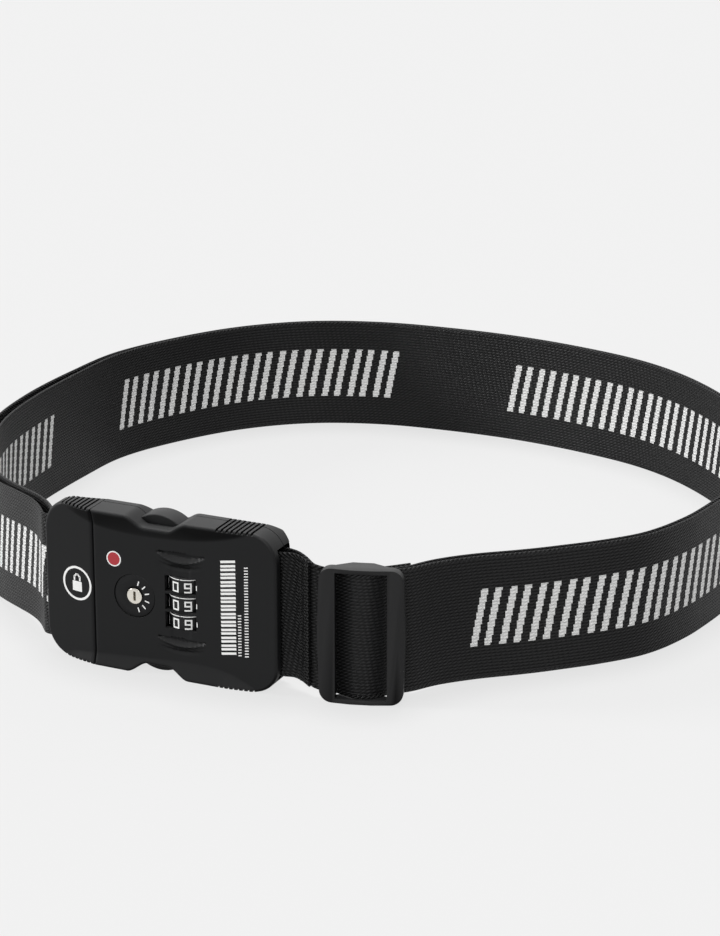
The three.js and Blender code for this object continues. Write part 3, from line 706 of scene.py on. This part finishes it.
def face_details(x, z):
    """Recesses in the front face round the dials."""
    depth = np.zeros_like(x)
    share = np.clip((x - CRESCENT_X[0]) / (CRESCENT_X[1] - CRESCENT_X[0]), 0, 1)
    lens = np.sin(math.pi * share) ** 0.8
    for middle, up, down in CRESCENTS:
        high, low = middle + up * lens, middle - down * lens
        inside = np.clip((z - low) / np.maximum(high - low, 0.01), 0, 1)
        # full depth in the upper half, with a hollow slope down from the lower lip
        below_upper_edge = 1 - smooth_share(inside, 0.9, 1.0)
        depth += CRESCENT_DEPTH * smooth_share(inside, 0.0, 0.4) * below_upper_edge * lens
        lip = low - 0.45
        depth -= 0.35 * np.exp(-(((z - lip) / 0.42) ** 2)) * lens
        crease_at = low - 2.2 + 0.9 * (lens - 1)
        depth += 0.3 * smooth_share(z, crease_at - 1.8, crease_at) * (z < crease_at + 0.2) * lens
    band = smooth_share(x, 5.2, 6.4) * (1 - smooth_share(x, 13.2, 14.4))
    between = smooth_share(z, -15.5, -13) * (1 - smooth_share(z, 13.5, 15.5))
    return depth + 0.3 * band * between


def vertical_samples():
    near_edge = [0.0, 0.08, 0.2, 0.38, 0.62, 0.9]
    upper = [LOCK_HALF - d for d in near_edge] + list(np.arange(LOCK_HALF - 1.3, 0, -0.5))
    return np.array(upper + [0.0] + [-z for z in upper[::-1]])


def shell_grid(stations, half_height, sink):
    """Grid of (x, z) over an outline and how far the face lies behind its plane there."""
    rows = vertical_samples()
    half = half_height(stations)
    x = np.repeat(stations[:, None], len(rows), axis=1)
    z = rows[None, :] * (half[:, None] / LOCK_HALF)
    outline = np.vstack([np.stack([stations, half], axis=1), np.stack([stations, -half], axis=1)[::-1]])
    return x, z, sink(x, z, half[:, None], edge_distance(x, z, outline))


def closed_shell(name, x, z, front, back, body, material):
    """Two faces over the same grid, joined round the rim."""
    rows = x.shape[1]
    count = x.size
    points = np.vstack([
        np.stack([x.ravel(), front.ravel(), z.ravel()], axis=1),
        np.stack([x.ravel(), back.ravel(), z.ravel()], axis=1),
    ])
    faces = []
    last = x.shape[0] - 1
    for i in range(last):
        for j in range(rows - 1):
            a = i * rows + j
            quad = (a, a + 1, a + rows + 1, a + rows)
            faces.append(quad)
            faces.append(tuple(count + q for q in reversed(quad)))
    rim = [i * rows for i in range(last + 1)]
    rim += [last * rows + j for j in range(1, rows)]
    rim += [i * rows + rows - 1 for i in range(last - 1, -1, -1)]
    rim += [j for j in range(rows - 2, 0, -1)]
    for a, b in zip(rim, rim[1:] + rim[:1]):
        faces.append((a, b, count + b, count + a))
    obj = make_object(name, from_lock(points), faces, body, material)
    outward(obj)
    return obj


def housing_stations():
    left = SEAM_X + GAP / 2
    corner_start = LOCK_REAR_X - HOUSING_CORNER
    near_seam = [left, left + 0.08, left + 0.22, left + 0.45]
    flat = list(np.arange(left + 0.9, corner_start, 0.5))
    turns = np.linspace(0, math.pi / 2, 26)
    return np.array(near_seam + flat + [corner_start + HOUSING_CORNER * math.sin(t) for t in turns])


GRIP_PITCH = 2.0
GRIP_WIDTH = 1.0
GRIP_DEPTH = 1.1
GRIP_COUNT = 8
GRIP_REACH = (-11, 11)  # the cutters pass right through both shells


def grip_cuts(cutters, first_x):
    """Grooves across the top and bottom edges, under the fingers."""
    top = LOCK_HALF + TOP_RISE - GRIP_DEPTH
    for ridge in range(GRIP_COUNT):
        x = first_x + ridge * GRIP_PITCH
        for z in ((top, LOCK_HALF + 4), (-LOCK_HALF - 1, -LOCK_HALF + GRIP_DEPTH)):
            cutters.box((x, x + GRIP_WIDTH), GRIP_REACH, z)


DIAL_X, DIAL_Y, DIAL_RADIUS, DIAL_PITCH = 9.8, -1.3, 8.0, 7.4
KEY_X, KEY_RADIUS, ESCUTCHEON_RADIUS = -9.9, 3.2, 8.6
SCREW_PLACES = [(-21, 12.8), (-21, -12.8), (26, 20), (26, -20)]


def inner_cuts(cutters):
    """Room for the plug's arms, tongue, dials and rear pin: the same spaces as in the CAD."""
    for z in ((15.6, 28.3), (-28.3, -15.6)):
        cutters.box((SEAM_X - 1, 20), (-5, 5), z)
    cutters.box((SEAM_X - 1, -24), (-3.2, 3.2), (-10.8, 10.8))
    cutters.box((1.2, 19), (-7.2, 7.2), (-13, 13))
    cutters.tube_z(1.9, (-15.3, 15.3), DIAL_X, DIAL_Y)
    cutters.box((36, LOCK_REAR_X + 0.2), (-5.6, 5.6), (-26.4, 26.4))


def make_housing(side):
    """side -1 is the front shell, 1 the back shell."""
    front = side < 0

    def sink(x, z, half, distance):
        if front:
            return edge_fall(distance, FACE_RADIUS) - flare(x, z) + face_details(x, z)
        return edge_fall(distance) + back_chamfer(x, z)

    x, z, fall = shell_grid(housing_stations(), housing_half_height, sink)
    face = side * (LOCK_FACE - fall)
    meeting = np.full_like(x, side * GAP / 2)
    name = "front_shell" if front else "back_shell"
    obj = closed_shell(name, x, raised(z), face, meeting, ROOT, shell_plastic)
    cutters = Cutters()
    inner_cuts(cutters)
    grip_cuts(cutters, 25.6)
    if front:
        cutters.tube_y(6.6, (-7.4, 1), KEY_X, 0)
        cutters.tube_y(KEY_RADIUS + GAP, (-10, 0), KEY_X, 0)
        cutters.tube_y(ESCUTCHEON_RADIUS + 0.2, (-10, -8), KEY_X, 0, 64)
        for step in (-1, 0, 1):
            middle = step * DIAL_PITCH
            cutters.box((DIAL_X - 6.6, DIAL_X + 6.6), (-10, -7), (middle - 3.3, middle + 3.3))
    else:
        cutters.tube_y(6.6, (-1, 6.2), KEY_X, 0)
        cutters.box((-4.8, 3.2), (-1, 5.9), (-18.9, 18.9))
        cutters.tube_y(1.6, (2.5, 10), 24, 0)
        for sx, sz in SCREW_PLACES:
            cutters.tube_y(1.3, (-1, 10), sx, sz)
            cutters.tube_y(2.5, (6.7, 10), sx, sz)
    cutters.apply(obj)
    crisp(obj, 32)
    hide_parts("front_housing" if front else "back_housing")
    return obj


def head_stations():
    right = SEAM_X - GAP / 2
    turns = np.linspace(0, math.pi / 2, 30)
    corner = [LOCK_FRONT_X + HEAD_CORNER * (1 - math.cos(t)) for t in turns]
    flat = list(np.arange(corner[-1] + 0.5, right - 0.6, 0.5))
    return np.array(corner + flat + [right - 0.45, right - 0.22, right - 0.08, right])


def make_head():
    def sink(x, z, half, distance):
        return edge_fall(distance, FACE_RADIUS)

    x, z, fall = shell_grid(head_stations(), head_half_height, sink)
    share = (x - LOCK_FRONT_X) / (SEAM_X - LOCK_FRONT_X)
    half_thick = HEAD_END_HALF + (LOCK_FACE - HEAD_END_HALF) * share
    front = -half_thick + fall - flare(x, z) * smooth_share(x, -46, -34)
    back = np.maximum(half_thick - fall - back_chamfer(x, z), 1.0)
    obj = closed_shell("plug_shell", x, raised(z), front, back, "plug", shell_plastic)
    cutters = Cutters()
    cutters.box((LOCK_FRONT_X - 0.2, -42), (-3.6, 3.6), (-26.4, 26.4))
    for z_range in ((18.9, 27.4), (-27.4, -18.9)):
        cutters.box((-37, SEAM_X + 1), (-4.9, 4.9), z_range)
    grip_cuts(cutters, -44.4)
    cutters.apply(obj)
    crisp(obj, 32)
    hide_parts("plug_head")
    return obj


def beveled_copy(node, name, body, material, width_mm, segments=3, angle=28):
    """The CAD solid with its edges rounded and its flat faces joined."""
    source = frame["nodes"][node]
    obj = bpy.data.objects.new(name, source.data.copy())
    scene.collection.objects.link(obj)
    use_material(obj, material)
    bm = bmesh.new()
    bm.from_mesh(obj.data)
    bmesh.ops.remove_doubles(bm, verts=bm.verts, dist=2e-6)
    bmesh.ops.dissolve_limit(bm, angle_limit=math.radians(1.5), verts=bm.verts, edges=bm.edges)
    bm.to_mesh(obj.data)
    bm.free()
    bevel = obj.modifiers.new("round", "BEVEL")
    bevel.width = width_mm * MM
    bevel.segments = segments
    bevel.limit_method = "ANGLE"
    bevel.angle_limit = math.radians(angle)
    bevel.harden_normals = False
    apply_modifiers(obj)
    crisp(obj, 40)
    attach(obj, body)
    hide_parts(node)
    return obj


# ---------- materials ----------
shell_plastic = moulded_plastic(
    "matte_lock_plastic", (0.007, 0.0073, 0.0077), (0.0095, 0.0098, 0.0103), 0.46, 0.16
)
adjuster_plastic = moulded_plastic(
    "adjuster_plastic", (0.012, 0.012, 0.0125), (0.015, 0.015, 0.0155), 0.45, 0.2
)
dial_plastic = moulded_plastic("dial_plastic", (0.004, 0.004, 0.0045), (0.006, 0.006, 0.0065), 0.4, 0.3)
sleeve_plastic = moulded_plastic("natural_nylon", (0.62, 0.61, 0.57), (0.7, 0.69, 0.65), 0.5, 0.4)
white_ink = printed_ink("white_ink", (0.9, 0.9, 0.89))
red_ink = printed_ink("red_ink", (0.42, 0.02, 0.03), 0.35)
nickel = brushed_metal("worn_nickel", (0.86, 0.82, 0.74), 0.28, (1.0, 0.1, 1.0))
steel = brushed_metal("steel", (0.55, 0.55, 0.56), 0.3)
thread = moulded_plastic(
    "bonded_thread", (0.004, 0.004, 0.004), (0.02, 0.02, 0.02), 0.6, 0.3, grain_mm=0.2, depth_mm=0.1
)
webbing = webbing_material()

strap_pieces = make_webbing()
make_housing(-1)
make_housing(1)
make_head()
upper_pad = beveled_copy(
    "upper_release_arm", "upper_release_pad", "upper_arm", shell_plastic, 0.5
)
# the pad's outer part follows the raised rim of the shells
PAD_BASE = 27.5
for vertex in upper_pad.data.vertices:
    vertex.co.z += TOP_RISE * MM * (vertex.co.z > (LOCK_PLACE[2] + PAD_BASE) * MM)
beveled_copy("lower_release_arm", "lower_release_pad", "lower_arm", shell_plastic, 0.5)
beveled_copy("slider_frame", "adjuster_frame", "adjuster", adjuster_plastic, 0.9)


# ---------- printed marks, digits and sewing ----------
def stroke_quads(lines, width, steps=4):
    """Flat quads along straight strokes; each stroke reaches half its width past both ends."""
    points, faces = [], []
    for (x0, z0), (x1, z1) in lines:
        run, rise = x1 - x0, z1 - z0
        length = math.hypot(run, rise)
        ax, az = run / length, rise / length
        reach = width / 2
        for step in range(steps + 1):
            at = -reach + (length + 2 * reach) * step / steps
            for side in (-reach, reach):
                points.append((x0 + ax * at - az * side, z0 + az * at + ax * side))
        first = len(points) - 2 * (steps + 1)
        for step in range(steps):
            low = first + 2 * step
            faces.append((low, low + 1, low + 3, low + 2))
    return points, faces


def ring_quads(centre, outer, inner, steps=64):
    points, faces = [], []
    for step in range(steps):
        angle = 2 * math.pi * step / steps
        for radius in (inner, outer):
            points.append((centre[0] + radius * math.cos(angle), centre[1] + radius * math.sin(angle)))
        low, after = 2 * step, 2 * ((step + 1) % steps)
        faces.append((low, low + 1, after + 1, after))
    return points, faces


def joined(*shapes):
    points, faces = [], []
    for shape_points, shape_faces in shapes:
        first = len(points)
        points += shape_points
        faces += [tuple(first + index for index in face) for face in shape_faces]
    return points, faces


def face_depth(x, z):
    """Depth of the front shell's flat face at a point."""
    return -LOCK_FACE


def head_depth(x, z):
    """Depth of the plug's face at a point: it slopes back towards the webbing."""
    share = (x - LOCK_FRONT_X) / (SEAM_X - LOCK_FRONT_X)
    return -(HEAD_END_HALF + (LOCK_FACE - HEAD_END_HALF) * share)


def printed(name, shape, depth, body, material, slot, proud=0.03):
    """A thin layer of ink on the lock's face."""
    flat, faces = shape
    points = [(x, depth(x, z) - proud, z) for x, z in flat]
    obj = make_object(name, from_lock(points), faces, body, material, smooth=False)
    return obj


def slanted_bars(x, z, pitch, thickness, slant, count):
    """Short bars across a vertical band from x[0] to x[1], starting at height z."""
    lines = [((x[0], z + pitch * i), (x[1], z + pitch * i + slant)) for i in range(count)]
    return stroke_quads(lines, thickness, 1)


PAIRED = [0.0, 1.75]


def make_prints():
    tall = joined(*[slanted_bars((27.4, 32.7), -17.3 + shift, 3.2, 0.95, 0.9, 12) for shift in PAIRED])
    printed("side_bars", tall, face_depth, ROOT, white_ink, "lock_plastic")
    short = slanted_bars((34.2, 35.2), -17.0, 1.15, 0.42, 0.2, 15)
    long = slanted_bars((37.0, 38.2), -17.0, 1.15, 0.45, 0.2, 32)
    printed("side_dashes", joined(short, long), face_depth, ROOT, white_ink, "lock_plastic")
    marks = [((16.7, i * DIAL_PITCH - 0.9), (16.7, i * DIAL_PITCH + 0.7)) for i in (-1, 0, 1)]
    printed("dial_index_marks", stroke_quads(marks, 0.38, 1), face_depth, ROOT, white_ink, "lock_plastic")
    shackle = [((-36.9, 2.0), (-36.9, 3.2)), ((-36.9, 3.2), (-36.0, 4.2)), ((-36.0, 4.2), (-35.2, 4.2))]
    shackle += [((-35.2, 4.2), (-34.3, 3.2)), ((-34.3, 3.2), (-34.3, 2.0))]
    body = [((-37.4, z), (-33.8, z)) for z in (1.0, 0.2, -0.6, -1.4, -2.2)]
    ring = ring_quads((-35.6, 0.6), 6.9, 6.0)
    badge = joined(ring, stroke_quads(shackle, 0.75, 1), stroke_quads(body, 0.85, 1))
    printed("head_badge", badge, head_depth, "plug", white_ink, "lock_plastic")
    dot = ring_quads((-18.5, 13.8), 2.6, 0.0)
    rim = ring_quads((-18.5, 13.8), 3.1, 2.55)
    printed("red_dot", dot, face_depth, ROOT, red_ink, "lock_plastic", 0.06)
    printed("red_dot_rim", rim, face_depth, ROOT, white_ink, "lock_plastic", 0.05)


# digits on a grid one wide and two high
DIGITS = [
    [((0, 0), (0, 2)), ((0, 2), (1, 2)), ((1, 2), (1, 0)), ((1, 0), (0, 0))],
    [((0.5, 0), (0.5, 2))],
    [((0, 2), (1, 2)), ((1, 2), (1, 1)), ((1, 1), (0, 1)), ((0, 1), (0, 0)), ((0, 0), (1, 0))],
    [((0, 2), (1, 2)), ((1, 2), (1, 0)), ((0, 1), (1, 1)), ((1, 0), (0, 0))],
    [((0, 2), (0, 1)), ((0, 1), (1, 1)), ((1, 2), (1, 0))],
    [((1, 2), (0, 2)), ((0, 2), (0, 1)), ((0, 1), (1, 1)), ((1, 1), (1, 0)), ((1, 0), (0, 0))],
    [((1, 2), (0, 2)), ((0, 2), (0, 0)), ((0, 0), (1, 0)), ((1, 0), (1, 1)), ((1, 1), (0, 1))],
    [((0, 2), (1, 2)), ((1, 2), (1, 0))],
    [((0, 0), (0, 2)), ((0, 2), (1, 2)), ((1, 2), (1, 0)), ((1, 0), (0, 0)), ((0, 1), (1, 1))],
    [((1, 1), (0, 1)), ((0, 1), (0, 2)), ((0, 2), (1, 2)), ((1, 2), (1, 0)), ((1, 0), (0, 0))],
]
DIGIT_SIZE = (2.3, 1.7)  # width of the grid and half its height
DIGIT_STROKE = 0.62
DIGIT_LOW = -2.5
ZERO_AT = math.radians(-14.5)


def round_dial(shape, height, radius):
    """Flat (distance round, height) points wrapped on a dial's rim, angle 0 facing the front."""
    points = []
    for u, v in shape:
        angle = u / radius
        points.append((DIAL_X + radius * math.sin(angle), DIAL_Y - radius * math.cos(angle), height + v))
    return points


def make_dial(number):
    height = (2 - number) * DIAL_PITCH
    body = f"dial_{number}"
    beveled_copy(f"number_dial_{number}", f"dial_{number}_wheel", body, dial_plastic, 0.25)
    shapes = []
    for digit, strokes in enumerate(DIGITS):
        middle = (ZERO_AT - digit * math.radians(36)) * DIAL_RADIUS
        width, tall = DIGIT_SIZE
        lines = [
            tuple((middle + (x - 0.5) * width, DIGIT_LOW + y * tall) for x, y in stroke)
            for stroke in strokes
        ]
        shapes.append(stroke_quads(lines, DIGIT_STROKE))
    once_round = 2 * math.pi * DIAL_RADIUS
    shapes.append(stroke_quads([((0.2, 2.35), (once_round - 0.2, 2.35))], 0.34, 72))
    flat, faces = joined(*shapes)
    points = round_dial(flat, height, DIAL_RADIUS + 0.03)
    obj = make_object(f"dial_{number}_figures", from_lock(points), faces, body, white_ink, smooth=False)


def make_escutcheon():
    beveled_copy("key_escutcheon", "key_ring", ROOT, shell_plastic, 0.25)
    ticks = []
    for degrees in (-72, -44, -16, 16, 44, 72):
        turn = math.radians(degrees)
        ticks.append([(KEY_X + radius * math.cos(turn), radius * math.sin(turn)) for radius in (4.9, 6.3)])
    marks = stroke_quads(ticks, 0.5, 1)
    printed("key_position_ticks", marks, face_depth, ROOT, white_ink, "lock_plastic", 0.12)


SEWING_ROWS = (60.9, 60.2, 59.4, 57.4, 56.9)
STITCH_PITCH = 1.25
STITCH_LENGTH = 1.5


def hem_depth(x):
    """Middle of the hem's front ply, close to its cut end."""
    return -2.6 - 1.4 * (x - 58) / 3.3


def make_sewing():
    """Rows of sewn threads over the cut end of the webbing's hem."""
    points, faces = [], []
    around = 6
    spot = np.array(plan([(60, -3.4)], LOCK_PLACE, LOCK_YAW))
    lowest = lift(spot)[0] + 0.9 - LOCK_PLACE[2]
    for row, x in enumerate(SEWING_ROWS):
        for index, z in enumerate(np.arange(lowest, lowest + 46.5, STITCH_PITCH)):
            lean = 0.5 if (index + row) % 2 else -0.5
            first = len(points)
            for share, girth in ((0.0, 0.02), (0.2, 0.3), (0.5, 0.38), (0.8, 0.3), (1.0, 0.02)):
                for side in range(around):
                    turn = 2 * math.pi * side / around
                    points.append((
                        x + lean * (share - 0.5) + girth * math.cos(turn),
                        hem_depth(x) - 0.72 - girth * math.sin(turn),
                        z + STITCH_LENGTH * share,
                    ))
            for ring in range(4):
                low = first + ring * around
                for side in range(around):
                    after = (side + 1) % around
                    faces.append((low + side, low + after, low + around + after, low + around + side))
    obj = make_object("hem_threads", from_lock(points), faces, None, thread)
    slider_point(-34, 0)
    slider_point(-17, 0)
    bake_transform(obj)
    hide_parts("hem_stitching")


for dial_number in (1, 2, 3):
    make_dial(dial_number)
make_escutcheon()
make_prints()
make_sewing()
beveled_copy("key_cylinder", "key_barrel_face", "key_barrel", nickel, 0.2)
beveled_copy("reset_button", "reset_stud", "reset", dial_plastic, 0.2)

STEEL_NODES = [
    "plug_webbing_pin", "housing_webbing_pin", "dial_spindle", "dial_detent_spring", "key_cam",
    "locking_bar", *[f"housing_screw_{number}" for number in (1, 2, 3, 4)],
]
for node in STEEL_NODES:
    use_material(frame["nodes"][node], steel)
for number in (1, 2, 3):
    use_material(frame["nodes"][f"dial_sleeve_{number}"], sleeve_plastic)

SPRING_SEAT_X = 7.2


def make_bar_spring():
    """The locking bar's spring: a steel copy of the CAD coil, riding on the strap and housing."""
    coil = bpy.data.objects.new("locking_bar_coil", frame["nodes"]["locking_bar_spring"].data.copy())
    scene.collection.objects.link(coil)
    use_material(coil, steel)
    coil.data.shade_smooth()
    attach(coil, ROOT)
    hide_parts("locking_bar_spring")
    seat = lock_point(SPRING_SEAT_X, 0)
    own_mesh(coil)


make_bar_spring()

outer_nodes = [f"webbing_outer_{s}" for s in ("right", "back_right", "back_left", "left")]
inner_nodes = [f"webbing_inner_{s}" for s in ("right", "back_right", "back_left", "left")]
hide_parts("webbing_lock_loop")
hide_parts("webbing_over_slider", "webbing_outer_front")
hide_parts("webbing_plug_fold", *outer_nodes, *inner_nodes)
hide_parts("webbing_slider_fold", "webbing_inner_front")

# ---------- floor, light, camera ----------
FLOOR_GLOW = 0.72  # a lit studio sweep: keeps the floor even and the shadows faint
FLOOR_HALF = 30.0
ROOM_LIGHT = (0.12, 0.9)  # behind the camera and behind the object
CAMERA_PLACE = (-4.5, -1254.0, 467.0)  # before recentring
CAMERA_TILT = 19.0  # degrees below level
CAMERA_LENS = 121.15


def make_stage():
    floor_material = Shader("pale_floor", (0.12, 0.12, 0.12), 0.9, specular=0.0)
    floor_material.set("Emission Color", (1.0, 1.0, 1.0, 1.0))
    floor_material.set("Emission Strength", FLOOR_GLOW)
    mesh = bpy.data.meshes.new("floor")
    half = FLOOR_HALF
    corners = [(-half, -half, 0), (half, -half, 0), (half, half, 0), (-half, half, 0)]
    mesh.from_pydata(corners, [], [(0, 1, 2, 3)])
    floor = bpy.data.objects.new("floor", mesh)
    scene.collection.objects.link(floor)
    mesh.materials.append(floor_material.material)

    world = bpy.data.worlds.new("studio")
    scene.world = world
    world.use_nodes = True
    # a bright wall behind the object and above it, a dim room behind the camera
    tree = world.node_tree
    tree.nodes["Background"].inputs["Color"].default_value = (1, 1, 1, 1)
    direction = tree.nodes.new("ShaderNodeTexCoord").outputs["Generated"]
    split = tree.nodes.new("ShaderNodeSeparateXYZ")
    tree.links.new(direction, split.inputs[0])
    share = tree.nodes.new("ShaderNodeMapRange")
    share.interpolation_type = "SMOOTHSTEP"
    share.inputs["From Min"].default_value = -0.2
    share.inputs["From Max"].default_value = 0.8
    share.inputs["To Min"].default_value = ROOM_LIGHT[0]
    share.inputs["To Max"].default_value = ROOM_LIGHT[1]
    tree.links.new(split.outputs["Y"], share.inputs["Value"])
    tree.links.new(share.outputs[0], tree.nodes["Background"].inputs["Strength"])

    def sun(name, tilt, turn, strength, spread):
        data = bpy.data.lights.new(name, "SUN")
        data.energy = strength
        data.angle = math.radians(spread)
        obj = bpy.data.objects.new(name, data)
        obj.rotation_euler = Euler((math.radians(tilt), 0, math.radians(turn)))
        scene.collection.objects.link(obj)

    sun("overhead_softbox", 14, 180, 2.0, 22)
    sun("left_softbox", 68, -95, 1.6, 14)
    sun("front_softbox", 58, -14, 1.15, 24)


def make_camera():
    data = bpy.data.cameras.new("camera")
    data.sensor_width = 36.0
    data.lens = CAMERA_LENS
    camera = bpy.data.objects.new("camera", data)
    x, y, z = CAMERA_PLACE
    camera.location = ((x + SHIFT[0]) * MM, (y + SHIFT[1]) * MM, z * MM)
    camera.rotation_euler = Euler((math.radians(90 - CAMERA_TILT), 0, 0))
    data.clip_end = 100.0
    scene.collection.objects.link(camera)
    scene.camera = camera


make_stage()
make_camera()
scene.view_settings.view_transform = "Standard"
